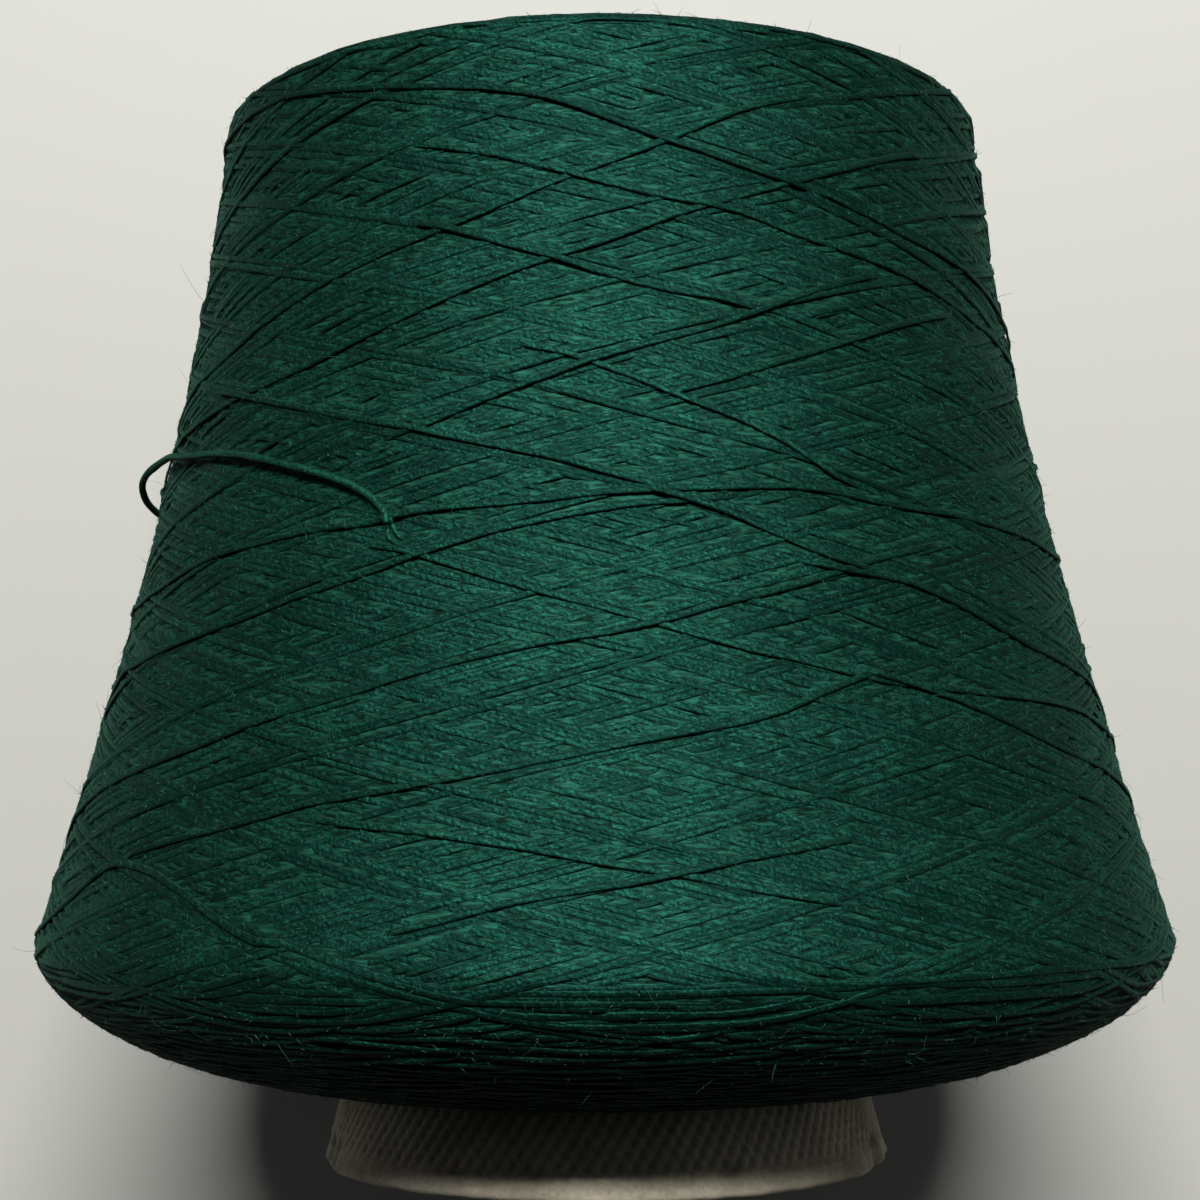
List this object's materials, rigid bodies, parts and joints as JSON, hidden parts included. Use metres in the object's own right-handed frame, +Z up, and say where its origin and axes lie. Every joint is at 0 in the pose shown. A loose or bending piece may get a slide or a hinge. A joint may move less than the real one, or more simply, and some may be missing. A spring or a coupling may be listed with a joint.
{
  "type": "cone of yarn",
  "caption": "Cross-wound cone of dark green wool yarn on a tapered grey card former, lying on its side with a small loop of loose end.",
  "frame": {"origin": "on the surface that the cone lies on, under the middle of its bounding box", "axes": "+Z up from that surface; the cone lies along Y with its wide base and the open end of the former towards -Y and its nose towards +Y; +X to the right seen from the base"},
  "size_m": [0.1594, 0.1692, 0.1549],
  "materials": {
    "wool_yarn": "two-ply woollen yarn, matt and slightly fuzzy, bottle green",
    "former_card": "grey card embossed with fine slanting ribs"
  },
  "bodies": {
    "root": {"yarn_package": "wool_yarn", "loose_end": "wool_yarn", "paper_cone": "former_card"}
  },
  "joints": []
}
